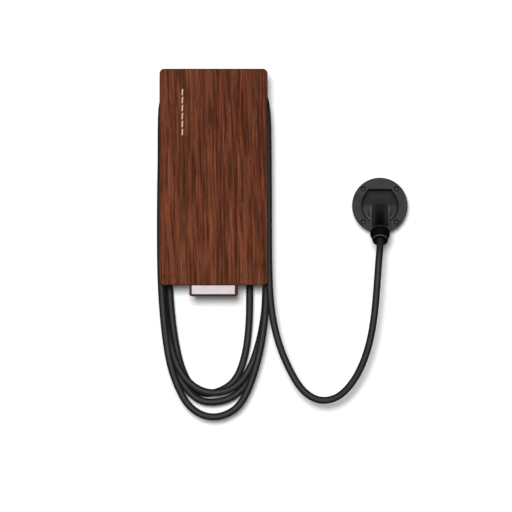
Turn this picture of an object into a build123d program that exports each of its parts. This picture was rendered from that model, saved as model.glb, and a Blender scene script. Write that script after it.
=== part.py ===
from build123d import *
import os
from math import atan2, cos, degrees, radians, sin, tan

# Wall charger for electric cars. A moulded body hangs on a steel bracket behind a wide wooden front,
# the charging cable is wound round the body, and the connector at its end is parked in a round holder.
# Millimetres. The wall is the plane y = 0, the front faces -Y, +Z is up, and the origin lies on the
# wall behind the middle of the wooden panel. "Depth" is the distance off the wall, so y = -depth.

# Clearances
part_gap = 0.3       # between pieces that come apart in use
seat_gap = 0.1       # between a piece and the pocket it is bonded or pressed into
thread_gap = 0.1     # radial play of a screw in its thread

# Wooden front panel
panel_width = 191.0
panel_height = 382.6
panel_thickness = 12.0
panel_corner = 8.5
panel_edge = 1.5

# Moulded frame behind the wood
frame_plate = 2.5
frame_inset = 4.5
frame_rim_width = 2.5
frame_rim_height = 3.5
frame_rib_width = 1.8
frame_rib_height = 1.7
frame_rib_pitch = 30.0
stud_radius = 3.4
stud_neck_radius = 2.5
stud_length = 9.0
stud_top_x = 28.0
stud_top_inset = 24.0    # below the body's top
stud_low_inset_x = 23.0
stud_low_inset_z = 36.0
panel_screw_radius = 1.7
panel_screw_length = 11.0
panel_screw_head_radius = 3.2
panel_screw_head_height = 1.2
panel_screw_inset_x = 13.0
panel_screw_inset_z = 20.0

# Light windows in the wood
window_count = 6
window_pitch = 14.1
window_inset_x = 40.4
window_inset_z = 76.55   # from the panel's top to the middle of the row
window_width = 2.1
window_height = 11.0
window_lean = 0.7
diffuser_width = 6.0
diffuser_margin = 3.0

# Badge tab below the panel
tab_width = 85.4
tab_drop = 19.5
tab_thickness = 7.0
tab_setback = 2.0
tab_corner = 4.0
tab_tongue = 16.0
badge_rim = 4.0
badge_low_rim = 5.8
badge_thickness = 1.0
badge_proud = 0.5

# Body
side_channel = 17.5      # from the panel's edge in to the body, room for the turns of the cable
top_channel = 17.3
low_channel = 55.3
body_top_corner = 48.0
body_bottom_corner = 10.0
body_wall = 3.5
body_rim_depth = 91.0
flange_reach_side = 10.0
flange_reach_top = 8.0
flange_reach_low = 36.0
flange_top_corner = 40.0
flange_bottom_corner = 16.0
flange_rim_wall = 3.0
flange_pocket = 5.0
flange_plate = 3.0
flange_rib_width = 2.0
flange_rib_margin = 20.0
flange_rib_pitch = 55.0

# Service cover and its seal
gasket_edge = 0.75
gasket_width = 2.0
gasket_height = 1.7
cover_gap = 0.5
cover_thickness = 4.0
cover_edge = 1.0
cover_tongue = 4.0
cover_tongue_wall = 2.0
cover_boss_radius = 5.0
cover_boss_bite = 1.5
cover_boss_length = 24.0
cover_boss_gusset = 9.0
cover_low_boss_rise = 4.0
cover_top_boss_angle = 73.0
cover_screw_radius = 1.9
cover_screw_length = 18.0
cover_screw_head_radius = 3.2
cover_screw_head_height = 2.0
socket_wall = 2.6

# Wall bracket
bracket_sheet = 2.0
bracket_width = 110.0
bracket_top = 112.0
bracket_low_margin = 10.0
bracket_corner = 6.0
bracket_return = 2.6
fixing_radius = 3.25
fixing_spacing_x = 84.0
fixing_spacing_z = 184.0
fixing_mid_z = -26.0
hook_x = 30.0
hook_width = 16.0
hook_foot_z = 78.0
hook_height = 14.0
hook_window_width = 26.0
hook_window_height = 23.0
staple_bar_height = 6.0
staple_leg_width = 2.4
staple_leg_gap = 1.6
lock_screw_radius = 2.0
lock_screw_head_radius = 4.0
lock_screw_head_height = 2.6
lock_screw_drop = 20.0
lock_nut_radius = 4.5

# Electronics inside the body
board_room_side = 10.5
board_room_top = 64.0
board_room_low = 50.0
board_thickness = 1.6
board_corner = 3.0
board_standoff = 10.0
board_standoff_radius = 4.0
board_screw_inset = 6.0
board_screw_radius = 1.4
board_screw_head_radius = 2.7
board_screw_head_height = 2.0
board_screw_length = 7.0
relay_pitch = 30.0
relay_size = (26.0, 32.0, 22.0)
relay_rise = 86.0        # these rises count from the board's lower edge
terminal_pitch = 12.0
terminal_height = 24.0
terminal_depth = 27.0
terminal_rise = 16.0
supply_terminal_x = -34.0
output_terminal_x = 33.0
terminal_poles = 3
terminal_entry_radius = 2.2
terminal_entry_depth = 8.0
terminal_entry_length = 10.0
terminal_screw_radius = 2.6
terminal_screw_sink = 9.0
terminal_screw_height = 4.0
sensor_outer = 15.0
sensor_bore = 9.0
sensor_length = 12.0
sensor_x = 38.0
sensor_rise = 48.0
supply_module_size = (46.0, 27.0, 22.0)
supply_module_x = -30.0
supply_module_rise = 134.0
control_size = (40.0, 44.0)
control_x = 30.0
control_rise = 156.0
control_can_height = 3.0
led_board_width = 15.0
led_board_height = 80.0
led_board_thickness = 1.6
led_peg_radius = 1.5
led_peg_shoulder = 2.6
led_peg_standoff = 3.5
led_peg_margin = 0.6
led_peg_reach = 30.0
led_lamp_radius = 1.6
guide_width = 5.0
guide_flange = 1.0
guide_flange_height = 1.5

# Charging cable, its gland and its conductors
cable_diameter = 12.5
cable_gland_inset = 14.2
cable_gland_depth = 30.0
cable_gland_boss_radius = 14.0
cable_gland_boss_drop = 10.0
cable_gland_thread = 10.0
supply_gland_x = -38.0
supply_gland_depth = 46.0
supply_gland_thread = 12.5
supply_cable_radius = 7.0
supply_thread_inside = 10.0
gland_hex_height = 5.0
gland_neck_height = 9.0
gland_nut_height = 16.0
gland_nut_wall = 3.0
locknut_height = 5.0
conductor_radius = 1.9
conductor_bend = 9.0

# Turns wound over the body: how far they reach off the wall and past the body's sides
coil_back = 17.7
coil_front = 83.0
coil_edge = 4.0
coil_straight_low = -150.0
coil_reach_left = 22.7
coil_reach_right = 25.6
coil_corner_reach = 19.9
coil_corner_radius = 60.5

# Holder on the wall for the connector
holder_x = 294.3
holder_z = -50.2
holder_radius = 49.3
holder_depth = 50.0
holder_back_radius = 47.5
holder_face = 4.0
holder_wall = 2.6
holder_edge = 1.8
holder_floor = 3.0
holder_ribs = 8
holder_rib_width = 2.0
recess_radius = 33.6
recess_flat = 29.4
recess_corner_x = 18.5
recess_corner_radius = 4.0
recess_edge = 0.8
screw_circle = 83.5
screw_column_radius = 7.0
screw_head_bore_radius = 5.0
screw_head_bore_depth = 6.0
screw_neck_radius = 1.95
screw_thread_radius = 2.25
screw_head_radius = 4.2
screw_head_height = 2.8
screw_stand_out = 32.0
screw_thread_start = -0.3

# Connector parked in the holder
nose_side_gap = 1.5
nose_top_gap = 3.6
nose_rest_gap = 0.3
nose_tip_gap = 3.0
nose_shoulder = 44.0
contact_bore = 3.0
pilot_bore = 2.0
contact_places = [(-17.0, 1.5), (0.0, 1.5), (17.0, 1.5), (-8.7, -13.5), (8.7, -13.5)]
pilot_places = [(-8.5, 14.5), (8.5, 14.5)]
contact_wall = 0.9
contact_depth = 30.0
handle_tilt = 48.0   # turn of the handle's axis, from straight out of the wall to downwards
handle_elbow_depth = 51.6
handle_half_width = 17.4
handle_top = 17.0
handle_corner_radius = 8.0
handle_start = 22.0
handle_end = 60.4
handle_bore = 10.5
grip_half_width = 15.0
grip_start = 2.0
grip_depth = 2.4
grip_proud = 0.5
nut_length = 21.8
nut_radius = 17.4
nut_end_radius = 13.4
nut_collar = 8.0
nut_flutes = 16
nut_flute_radius = 1.5
nut_wall = 3.0
clamp_length = 10.0

# Derived places
cover_back = body_rim_depth + cover_gap
cover_front = cover_back + cover_thickness
frame_back = cover_front + part_gap + frame_rib_height
panel_back = frame_back + frame_plate
front_depth = panel_back + panel_thickness
frame_width = panel_width - 2 * frame_inset
frame_height = panel_height - 2 * frame_inset
body_half_width = panel_width / 2 - side_channel
body_top = panel_height / 2 - top_channel
body_bottom = -panel_height / 2 + low_channel
flange_half_width = body_half_width + flange_reach_side
flange_top = body_top + flange_reach_top
flange_bottom = body_bottom - flange_reach_low
floor_depth = flange_pocket + flange_plate
board_width = 2 * (body_half_width - body_wall - board_room_side)
board_low = body_bottom + board_room_low
board_height = body_top - board_room_top - board_low
board_mid_z = board_low + board_height / 2
board_back = floor_depth + board_standoff
board_front = board_back + board_thickness
relay_count = int(board_width // relay_pitch)
relay_z = board_low + relay_rise
terminal_z = board_low + terminal_rise
sensor_z = board_low + sensor_rise
supply_module_z = board_low + supply_module_rise
control_z = board_low + control_rise
cable_radius = cable_diameter / 2
window_x = window_inset_x - panel_width / 2
window_mid_z = panel_height / 2 - window_inset_z
window_rows = [(row - (window_count - 1) / 2) * window_pitch for row in range(window_count)]
window_span = (window_count - 1) * window_pitch + window_height
panel_bottom = -panel_height / 2
stud_low_x = body_half_width - stud_low_inset_x
stud_places = [(side * x, z) for x, z in (
    (stud_top_x, body_top - stud_top_inset), (stud_low_x, body_bottom + stud_low_inset_z),
) for side in (-1, 1)]
cover_boss_inset = body_wall + cover_boss_radius - cover_boss_bite
cover_boss_x = body_half_width - cover_boss_inset
top_boss_reach = body_top_corner - cover_boss_inset
top_boss_angle = radians(cover_top_boss_angle)
cover_top_boss_x = body_half_width - body_top_corner + top_boss_reach * cos(top_boss_angle)
cover_top_boss_z = body_top - body_top_corner + top_boss_reach * sin(top_boss_angle)
cover_screw_places = [(side * x, z) for x, z in (
    (cover_boss_x, body_bottom + body_bottom_corner + cover_low_boss_rise),
    (cover_boss_x, (body_top + body_bottom) / 2),
    (cover_top_boss_x, cover_top_boss_z),
) for side in (-1, 1)]
lock_screw_z = body_bottom - lock_screw_drop
bracket_bottom = lock_screw_z - bracket_low_margin
led_board_back = cover_back - led_peg_standoff - led_board_thickness
led_board_x = window_x + led_board_width / 2 - guide_width / 2 - guide_flange
led_peg_x = led_board_x + led_board_width / 2 - led_peg_shoulder - led_peg_margin
led_peg_rows = (window_mid_z - led_peg_reach, window_mid_z + led_peg_reach)
board_screw_places = [(x_side * (board_width / 2 - board_screw_inset),
                       board_mid_z + z_side * (board_height / 2 - board_screw_inset))
                      for x_side in (-1, 1) for z_side in (-1, 1)]
cable_gland_x = body_half_width - cable_gland_inset
cable_gland_face = body_bottom - cable_gland_boss_drop
nose_lowered = nose_side_gap - nose_rest_gap
connector_z = holder_z - nose_lowered
nose_radius = recess_radius - nose_side_gap
nose_flat = recess_flat + nose_lowered - nose_top_gap
nose_tip = holder_floor + nose_tip_gap


# Helpers for shapes drawn as seen from the front
def slab(outline, back, front, taper=0.0):
    """Extrude a front-view outline from one distance off the wall to another."""
    return extrude(Plane.XZ.offset(back) * outline, amount=front - back, taper=taper)


def post(x, z, radius, back, front):
    return slab(Pos(x, z) * Circle(radius), back, front)


def block(x, z, width, height, back, front):
    return slab(Pos(x, z) * Rectangle(width, height), back, front)


def upright(x, depth, radius, low, high):
    """A round bar that stands along Z."""
    return extrude(Plane.XY.offset(low) * Pos(x, -depth) * Circle(radius), amount=high - low)


def frustum(x, z, back_radius, front_radius, back, front):
    turned = Pos(x, -(back + front) / 2, z) * Rot(X=90)
    return turned * Cone(back_radius, front_radius, front - back)


def arch_outline(half_width, low, high, low_corner, high_corner, grow=0.0):
    """Rectangle with one radius on its two upper corners and another on the lower ones."""
    face = Pos(0, (low + high) / 2) * Rectangle(2 * (half_width + grow), high - low + 2 * grow)
    face = fillet(face.vertices().group_by(Axis.Y)[-1], high_corner + grow)
    return fillet(face.vertices().group_by(Axis.Y)[0], low_corner + grow)


def body_outline(grow=0.0):
    return arch_outline(body_half_width, body_bottom, body_top, body_bottom_corner,
                        body_top_corner, grow)


def flange_outline(grow=0.0):
    return arch_outline(flange_half_width, flange_bottom, flange_top, flange_bottom_corner,
                        flange_top_corner, grow)


def flat_topped(radius, flat, corner_x, corner_radius):
    """Round outline with a flat top between two small shoulders."""
    shoulder = Circle(corner_radius)
    rounds = Circle(radius) + [Pos(side * corner_x, flat - corner_radius) * shoulder for side in (-1, 1)]
    hull = make_hull(rounds.edges())
    return hull & Pos(0, flat - 2 * radius) * Rectangle(4 * radius, 4 * radius)


# Wooden front
def window_outline(row, grow=0.0):
    """One slanted light window."""
    half = window_width / 2 + grow
    reach = window_height / 2 + grow
    lean = window_lean / 2
    corners = ((-half - lean, -reach), (half - lean, -reach), (half + lean, reach), (-half + lean, reach))
    return Pos(window_x, window_mid_z + row) * Polygon(*corners, align=None)


def panel_screw_places():
    x = panel_width / 2 - panel_screw_inset_x
    z = panel_height / 2 - panel_screw_inset_z
    return [(side * x, row) for side in (-1, 1) for row in (-z, 0, z)]


def make_front_panel():
    wood = slab(RectangleRounded(panel_width, panel_height, panel_corner), panel_back, front_depth)
    wood = fillet(wood.faces().sort_by(Axis.Y)[0].edges(), panel_edge)
    for row in window_rows:
        wood -= slab(window_outline(row, seat_gap), panel_back - 1, front_depth + 1)
    for x, z in panel_screw_places():
        pilot_end = frame_back + panel_screw_length + 0.5
        wood -= post(x, z, panel_screw_radius + thread_gap, panel_back - 1, pilot_end)
    return wood


def make_panel_frame():
    corner = panel_corner - frame_inset
    outline = RectangleRounded(frame_width, frame_height, corner)
    opening = Rectangle(frame_width - 2 * frame_rim_width, frame_height - 2 * frame_rim_width)
    frame = slab(outline, frame_back, panel_back)
    frame += slab(outline - opening, frame_back - frame_rim_height, frame_back)
    rib_back = cover_front + part_gap
    across = int(frame_width / 2 // frame_rib_pitch)
    along = int(frame_height / 2 // frame_rib_pitch)
    for step in range(-across, across + 1):
        frame += block(step * frame_rib_pitch, 0, frame_rib_width, frame_height - frame_rim_width,
                       rib_back, frame_back)
    for step in range(-along, along + 1):
        frame += block(0, step * frame_rib_pitch, frame_width - frame_rim_width, frame_rib_width,
                       rib_back, frame_back)
    for x, z in stud_places:
        ball_depth = frame_back - stud_length + stud_radius
        frame += post(x, z, stud_neck_radius + 2, rib_back, frame_back)
        frame += post(x, z, stud_neck_radius, ball_depth, frame_back)
        frame += Pos(x, -ball_depth, z) * Sphere(stud_radius)
    slot_height = window_span + 2 * diffuser_margin
    slot = block(window_x, window_mid_z, diffuser_width + 2 * seat_gap, slot_height + 2 * seat_gap,
                 rib_back - 1, panel_back + 1)
    tab_notch = block(0, panel_bottom + tab_tongue / 2, tab_width + 2 * seat_gap,
                      tab_tongue + 2 * seat_gap, frame_back - frame_rim_height - 1, panel_back + 1)
    frame -= slot + tab_notch
    for x, z in panel_screw_places():
        frame += post(x, z, panel_screw_head_radius + 2, rib_back, frame_back)
        frame -= post(x, z, panel_screw_radius + part_gap, rib_back - 1, panel_back + 1)
        frame -= post(x, z, panel_screw_head_radius + seat_gap, rib_back - 1, frame_back)
    return frame


def make_panel_screws():
    screws = []
    for x, z in panel_screw_places():
        head = frustum(x, z, panel_screw_head_radius, panel_screw_head_radius * 0.9,
                       frame_back - panel_screw_head_height, frame_back)
        shank = post(x, z, panel_screw_radius, frame_back, frame_back + panel_screw_length)
        screws.append(head + shank)
    return Compound(screws)


def make_light_diffuser():
    strip_height = window_span + 2 * diffuser_margin
    diffuser = block(window_x, window_mid_z, diffuser_width, strip_height, frame_back, panel_back)
    for row in window_rows:
        diffuser += slab(window_outline(row), panel_back, front_depth - 0.2)
    return diffuser


def make_badge_tab():
    tab_front = front_depth - tab_setback
    tab_back = tab_front - tab_thickness
    lip_top = panel_bottom - part_gap
    lip_low = panel_bottom - tab_drop
    outline = Pos(0, (lip_top + lip_low) / 2) * Rectangle(tab_width, lip_top - lip_low)
    outline = fillet(outline.vertices().group_by(Axis.Y)[0], tab_corner)
    lip = slab(outline, tab_back, tab_front)
    lip = fillet(lip.faces().sort_by(Axis.Y)[0].edges().group_by(Axis.Z)[0], 1.0)
    shelf = block(0, lip_top - 3, tab_width, 6.0, frame_back, tab_back)
    tongue = block(0, (lip_top + panel_bottom + tab_tongue) / 2, tab_width,
                   panel_bottom + tab_tongue - lip_top, frame_back, panel_back)
    recess_low = lip_low + badge_low_rim
    recess = block(0, (recess_low + panel_bottom + 1) / 2, tab_width - 2 * badge_rim,
                   panel_bottom + 1 - recess_low, tab_front - badge_thickness + badge_proud, tab_front + 1)
    return lip + shelf + tongue - recess


def make_badge_plate():
    tab_front = front_depth - tab_setback
    low = panel_bottom - tab_drop + badge_low_rim + seat_gap
    high = panel_bottom - part_gap
    plate = block(0, (low + high) / 2, tab_width - 2 * badge_rim - 2 * seat_gap, high - low,
                  tab_front - badge_thickness + badge_proud, tab_front + badge_proud)
    return chamfer(plate.faces().sort_by(Axis.Y)[0].edges(), 0.25)


# Body and cover
def make_flange():
    """Foot of the body: a plate with a rim round the bracket and ribs beside it."""
    flange = slab(flange_outline(), flange_pocket, floor_depth)
    flange += slab(flange_outline() - flange_outline(-flange_rim_wall), 0, flange_pocket)
    rib_x = (bracket_width / 2 + flange_half_width) / 2
    reach = flange_half_width - flange_rim_wall / 2 - rib_x
    rib_height = flange_top - flange_bottom - 2 * flange_rib_margin
    for side in (-1, 1):
        flange += block(side * rib_x, (flange_top + flange_bottom) / 2, flange_rib_width, rib_height,
                        0, flange_pocket)
        for row in range(-2, 3):
            flange += block(side * (rib_x + reach / 2), row * flange_rib_pitch, reach, flange_rib_width,
                            0, flange_pocket)
    return flange


def make_staples():
    """Bars behind the flange that drop over the bracket's hooks and rest on their feet."""
    bar_z = hook_foot_z + bracket_sheet + part_gap + staple_bar_height / 2
    bar_front = bracket_return - part_gap
    leg_x = hook_width / 2 + staple_leg_gap + staple_leg_width / 2
    staples = Part()
    for side in (-1, 1):
        staples += block(side * hook_x, bar_z, 2 * leg_x + staple_leg_width, staple_bar_height,
                         part_gap, bar_front)
        for leg in (-1, 1):
            staples += block(side * hook_x + leg * leg_x, bar_z, staple_leg_width, staple_bar_height,
                             part_gap, flange_pocket + 1)
    return staples


def make_rear_housing():
    case = slab(body_outline(), flange_pocket + 1, body_rim_depth)
    case += upright(cable_gland_x, cable_gland_depth, cable_gland_boss_radius, cable_gland_face,
                    body_bottom + body_bottom_corner)
    case -= slab(body_outline(-body_wall), floor_depth, body_rim_depth + 1)
    housing = make_flange() + case + make_staples()
    boss_back = body_rim_depth - cover_boss_length
    for x, z in cover_screw_places:
        housing += post(x, z, cover_boss_radius, boss_back, body_rim_depth)
        housing += frustum(x, z, 2.0, cover_boss_radius, boss_back - cover_boss_gusset, boss_back)
        housing -= post(x, z, cover_screw_radius + thread_gap, body_rim_depth - cover_screw_length + 1,
                        body_rim_depth + 1)
    for x, z in board_screw_places:
        housing += frustum(x, z, board_standoff_radius + 1, board_standoff_radius, floor_depth - 1, board_back)
        housing -= post(x, z, board_screw_radius + thread_gap, board_front - board_screw_length - 1,
                        board_back + 1)
    housing -= upright(cable_gland_x, cable_gland_depth, cable_gland_thread + thread_gap,
                       cable_gland_face - 1, body_bottom + body_bottom_corner)
    housing -= upright(supply_gland_x, supply_gland_depth, supply_gland_thread + thread_gap,
                       body_bottom - 1, body_bottom + body_wall + 1)
    return housing - post(0, lock_screw_z, lock_screw_radius + part_gap, flange_pocket - 1, floor_depth + 1)


def make_housing_gasket():
    ring = body_outline(-gasket_edge) - body_outline(-gasket_edge - gasket_width)
    return slab(ring, body_rim_depth, body_rim_depth + gasket_height)


def make_service_cover():
    cover = slab(body_outline(), cover_back, cover_front)
    cover = fillet(cover.faces().sort_by(Axis.Y)[0].edges(), cover_edge)
    tongue_edge = body_wall + part_gap
    tongue = slab(body_outline(-tongue_edge) - body_outline(-tongue_edge - cover_tongue_wall),
                  cover_back - cover_tongue, cover_back)
    for x, z in cover_screw_places:
        tongue -= post(x, z, cover_boss_radius + part_gap, cover_back - cover_tongue - 1, cover_back)
    cover += tongue
    socket_bore = stud_radius + part_gap
    socket_floor = frame_back - stud_length - part_gap
    for x, z in stud_places:
        cover += post(x, z, socket_bore + socket_wall, socket_floor - socket_wall, cover_back)
        cover -= post(x, z, socket_bore, socket_floor, cover_front + 1)
    for z in led_peg_rows:
        cover += post(led_peg_x, z, led_peg_shoulder, cover_back - led_peg_standoff, cover_back)
        cover += post(led_peg_x, z, led_peg_radius, led_board_back - 0.6, cover_back)
    groove = (body_outline(-gasket_edge + seat_gap)
              - body_outline(-gasket_edge - gasket_width - seat_gap))
    cover -= slab(groove, cover_back - 0.01, body_rim_depth + gasket_height)
    for x, z in cover_screw_places:
        cover -= post(x, z, cover_screw_radius + part_gap, cover_back - 1, cover_front + 1)
        cover -= post(x, z, cover_screw_head_radius + part_gap,
                      cover_front - cover_screw_head_height - 0.2, cover_front + 1)
    cover -= block(window_x, window_mid_z, guide_width + 2 * seat_gap, window_span + 2 * seat_gap,
                   cover_back - 1, cover_front + 1)
    return cover


def make_cover_screws():
    seat = cover_front - cover_screw_head_height - 0.2
    screws = []
    for x, z in cover_screw_places:
        head = post(x, z, cover_screw_head_radius, seat, seat + cover_screw_head_height)
        drive = slab(Pos(x, z) * RegularPolygon(1.5, 6), seat + 0.8, seat + cover_screw_head_height + 1)
        shank = post(x, z, cover_screw_radius, seat - cover_screw_length, seat)
        screws.append(head + shank - drive)
    return Compound(screws)


# Wall bracket
def make_wall_bracket():
    mid_z = (bracket_top + bracket_bottom) / 2
    height = bracket_top - bracket_bottom
    plate = slab(Pos(0, mid_z) * RectangleRounded(bracket_width, height, bracket_corner), 0, bracket_sheet)
    for side in (-1, 1):
        plate += block(side * (bracket_width - bracket_sheet) / 2, mid_z, bracket_sheet,
                       height - 2 * bracket_corner - 2, 0, bracket_sheet + bracket_return)
    for side in (-1, 1):
        x = side * hook_x
        plate -= block(x, hook_foot_z + hook_window_height / 2, hook_window_width, hook_window_height,
                       -1, bracket_sheet + 1)
        # the hook is cut from the sheet on three sides and joggled forward by a little over its thickness
        plate += block(x, hook_foot_z + bracket_sheet / 2, hook_width, bracket_sheet,
                       0, bracket_sheet + bracket_return)
        plate += block(x, hook_foot_z + hook_height / 2, hook_width, hook_height,
                       bracket_return, bracket_sheet + bracket_return)
    for x_side in (-1, 1):
        for z_side in (-1, 1):
            plate -= post(x_side * fixing_spacing_x / 2, fixing_mid_z + z_side * fixing_spacing_z / 2,
                          fixing_radius, -1, bracket_sheet + 1)
    plate += frustum(0, lock_screw_z, lock_nut_radius + 0.5, lock_nut_radius, bracket_sheet,
                     bracket_sheet + bracket_return)
    return plate - post(0, lock_screw_z, lock_screw_radius + thread_gap, -1, flange_pocket)


def make_lock_screw():
    head = post(0, lock_screw_z, lock_screw_head_radius, floor_depth, floor_depth + lock_screw_head_height)
    shank = post(0, lock_screw_z, lock_screw_radius, 0.5, floor_depth)
    drive = slab(Pos(0, lock_screw_z) * RegularPolygon(1.8, 6), floor_depth + 0.8, floor_depth + 5)
    return head + shank - drive


# Electronics
def make_main_board():
    board = slab(Pos(0, board_mid_z) * RectangleRounded(board_width, board_height, board_corner),
                 board_back, board_front)
    for x, z in board_screw_places:
        board -= post(x, z, board_screw_radius + part_gap, board_back - 1, board_front + 1)
    return board


def make_board_screws():
    screws = []
    for x, z in board_screw_places:
        head = post(x, z, board_screw_head_radius, board_front, board_front + board_screw_head_height)
        shank = post(x, z, board_screw_radius, board_front - board_screw_length, board_front)
        screws.append(head + shank)
    return Compound(screws)


def make_power_relays():
    width, height, depth = relay_size
    relays = []
    for place in range(relay_count):
        x = (place - (relay_count - 1) / 2) * relay_pitch
        case = block(x, relay_z, width, height, board_front + 1.5, board_front + depth)
        case = fillet(case.faces().sort_by(Axis.Y)[0].edges(), 1.0)
        foot = block(x, relay_z, width - 2, height - 2, board_front, board_front + 1.5)
        relays.append(case + foot)
    return Compound(relays)


def terminal_wells(mid_x):
    return [mid_x + (pole - (terminal_poles - 1) / 2) * terminal_pitch for pole in range(terminal_poles)]


def make_terminals(mid_x):
    width = terminal_poles * terminal_pitch + 3
    front = board_front + terminal_depth
    terminals = block(mid_x, terminal_z, width, terminal_height, board_front, front)
    terminals = chamfer(terminals.faces().sort_by(Axis.Y)[0].edges(), 1.2)
    low = terminal_z - terminal_height / 2
    for x in terminal_wells(mid_x):
        terminals -= post(x, terminal_z, terminal_screw_radius + part_gap, front - terminal_screw_sink,
                          front + 1)
        terminals -= upright(x, board_front + terminal_entry_depth, terminal_entry_radius, low - 1,
                             low + terminal_entry_length)
    return terminals


def make_terminal_screws():
    front = board_front + terminal_depth
    screws = []
    for mid_x in (supply_terminal_x, output_terminal_x):
        for x in terminal_wells(mid_x):
            seat = front - terminal_screw_sink
            head = post(x, terminal_z, terminal_screw_radius, seat, seat + terminal_screw_height)
            slot = block(x, terminal_z, 3 * terminal_screw_radius, 0.9, seat + terminal_screw_height - 1, front)
            screws.append(head - slot)
    return Compound(screws)


def make_leakage_sensor():
    depth = board_front + 2.5 + sensor_outer
    low = sensor_z - sensor_length / 2
    ring = upright(sensor_x, depth, sensor_outer, low, low + sensor_length)
    foot = block(sensor_x, sensor_z, 1.3 * sensor_outer, sensor_length, board_front, depth)
    return ring + foot - upright(sensor_x, depth, sensor_bore, low - 1, low + sensor_length + 1)


def make_power_supply():
    width, height, depth = supply_module_size
    case = block(supply_module_x, supply_module_z, width, height, board_front, board_front + depth)
    return fillet(case.faces().sort_by(Axis.Y)[0].edges(), 1.5)


def make_control_module():
    width, height = control_size
    card = block(control_x, control_z, width, height, board_front, board_front + 1.0)
    can = block(control_x, control_z - 5, width - 6, height - 16, board_front + 1.0,
                board_front + 1.0 + control_can_height)
    return card + fillet(can.faces().sort_by(Axis.Y)[0].edges(), 0.6)


def make_led_board():
    board = block(led_board_x, window_mid_z, led_board_width, led_board_height, led_board_back,
                  led_board_back + led_board_thickness)
    for z in led_peg_rows:
        board -= post(led_peg_x, z, led_peg_radius + seat_gap, led_board_back - 1, cover_back)
    return board


def make_led_lamps():
    front = led_board_back + led_board_thickness
    lamps = [post(window_x, window_mid_z + row, led_lamp_radius, front, front + 0.9)
             for row in window_rows]
    return Compound(lamps)


def make_light_guide():
    bar = block(window_x, window_mid_z, guide_width, window_span, cover_back, cover_front)
    flange = block(window_x, window_mid_z, guide_width + 2 * guide_flange, window_span + 2 * guide_flange,
                   cover_back - guide_flange_height, cover_back)
    return bar + flange


# Cable glands. Each hangs below a face and is described by its thread and the cable it grips.
def gland_body(x, depth, face, thread, bore, inside):
    flange_low = face - gland_hex_height
    hexagon = Plane.XY.offset(flange_low) * Pos(x, -depth) * RegularPolygon(thread * 1.32, 6)
    body = extrude(hexagon, amount=gland_hex_height)
    body += upright(x, depth, thread, face, face + inside)
    body += upright(x, depth, thread - 0.6, flange_low - gland_neck_height, flange_low)
    return body - upright(x, depth, bore, flange_low - gland_neck_height - 1, face + inside + 1)


def gland_seal(x, depth, face, thread, cable):
    top = face - gland_hex_height - gland_neck_height
    low = top - (gland_nut_height - gland_neck_height - gland_nut_wall)
    return (upright(x, depth, thread - 0.8, low, top)
            - upright(x, depth, cable, low - 1, top + 1))


def gland_nut(x, depth, face, thread, bore):
    top = face - gland_hex_height - 0.5
    low = top - gland_nut_height
    outer = thread - 0.6 + gland_nut_wall
    ring = Plane.XY.offset(top) * Pos(x, -depth) * RegularPolygon(outer * 1.04, 12)
    nut = extrude(ring, amount=-gland_nut_height * 0.62)
    dome = Pos(x, -depth, low + gland_nut_height * 0.19) * Cone(outer * 0.8, outer, gland_nut_height * 0.38)
    nut += dome
    seal_low = face - gland_hex_height - gland_nut_height + gland_nut_wall
    nut -= upright(x, depth, thread - 0.6 + thread_gap, seal_low, top + 1)
    return nut - upright(x, depth, bore, low - 1, top + 1)


def make_supply_locknut():
    low = body_bottom + body_wall
    hexagon = Plane.XY.offset(low) * Pos(supply_gland_x, -supply_gland_depth) * RegularPolygon(16.0, 6)
    nut = extrude(hexagon, amount=locknut_height)
    return nut - upright(supply_gland_x, supply_gland_depth, supply_gland_thread + thread_gap, low - 1,
                         low + locknut_height + 1)


def make_output_wires():
    """Three conductors from the cable's end in its gland up into the output terminals."""
    start_z = body_bottom - 2
    end_z = terminal_z - terminal_height / 2 + terminal_entry_length - 1
    entry_depth = board_front + terminal_entry_depth
    wires = []
    for turn, x in enumerate(reversed(terminal_wells(output_terminal_x))):
        angle = radians(-30 + 120 * turn)
        start_x = cable_gland_x + 3.4 * cos(angle)
        start_depth = cable_gland_depth + 3.4 * sin(angle)
        points = [(start_x, -start_depth, start_z), (start_x, -start_depth, start_z + 14 + 5 * turn),
                  (x, -entry_depth, end_z - 20 - 2 * turn), (x, -entry_depth, end_z)]
        path = FilletPolyline(*points, radius=conductor_bend)
        section = Plane(origin=points[0], z_dir=(0, 0, 1)) * Circle(conductor_radius)
        wires.append(sweep(section, path=path))
    return Compound(wires)


# Charging cable. The route points are chosen by hand: x, depth off the wall, z.
def cable_tube(points):
    """Straight runs joined by tangent arcs, each arc as large as its two runs allow."""
    places = [Vector(x, -depth, z) for x, depth, z in points]
    radii = []
    for before, here, after in zip(places, places[1:], places[2:]):
        first, second = here - before, after - here
        half_turn = radians(first.get_angle(second)) / 2
        radii.append(0.45 * min(first.length, second.length) / tan(half_turn))
    print("cable radii", [round(radius) for radius in radii])
    path = FilletPolyline(*places, radius=radii)
    section = Plane(origin=places[0], z_dir=places[1] - places[0]) * Circle(cable_radius)
    tube = sweep(section, path=path)
    print("cable length", round(path.length, 1), "volume share",
          round(tube.volume / (path.length * section.area), 4))
    return tube


def make_cable_lead():
    entry = cable_gland_face - gland_hex_height - gland_neck_height
    return cable_tube([
        (cable_gland_x, cable_gland_depth, entry),
        (cable_gland_x, cable_gland_depth - 0.8, -205.0),
        (63.2, 27.0, -258.0),
        (58.5, 25.5, -312.0),
        (43.0, 24.8, -358.0),
        (14.0, 24.6, -382.5),
        (-24.0, 24.6, -385.5),
    ])


def handle_point(travel):
    """A point on the handle's axis: its depth and its height above the connector's middle."""
    along = radians(handle_tilt)
    return (handle_elbow_depth + travel * cos(along), -travel * sin(along))


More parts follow.
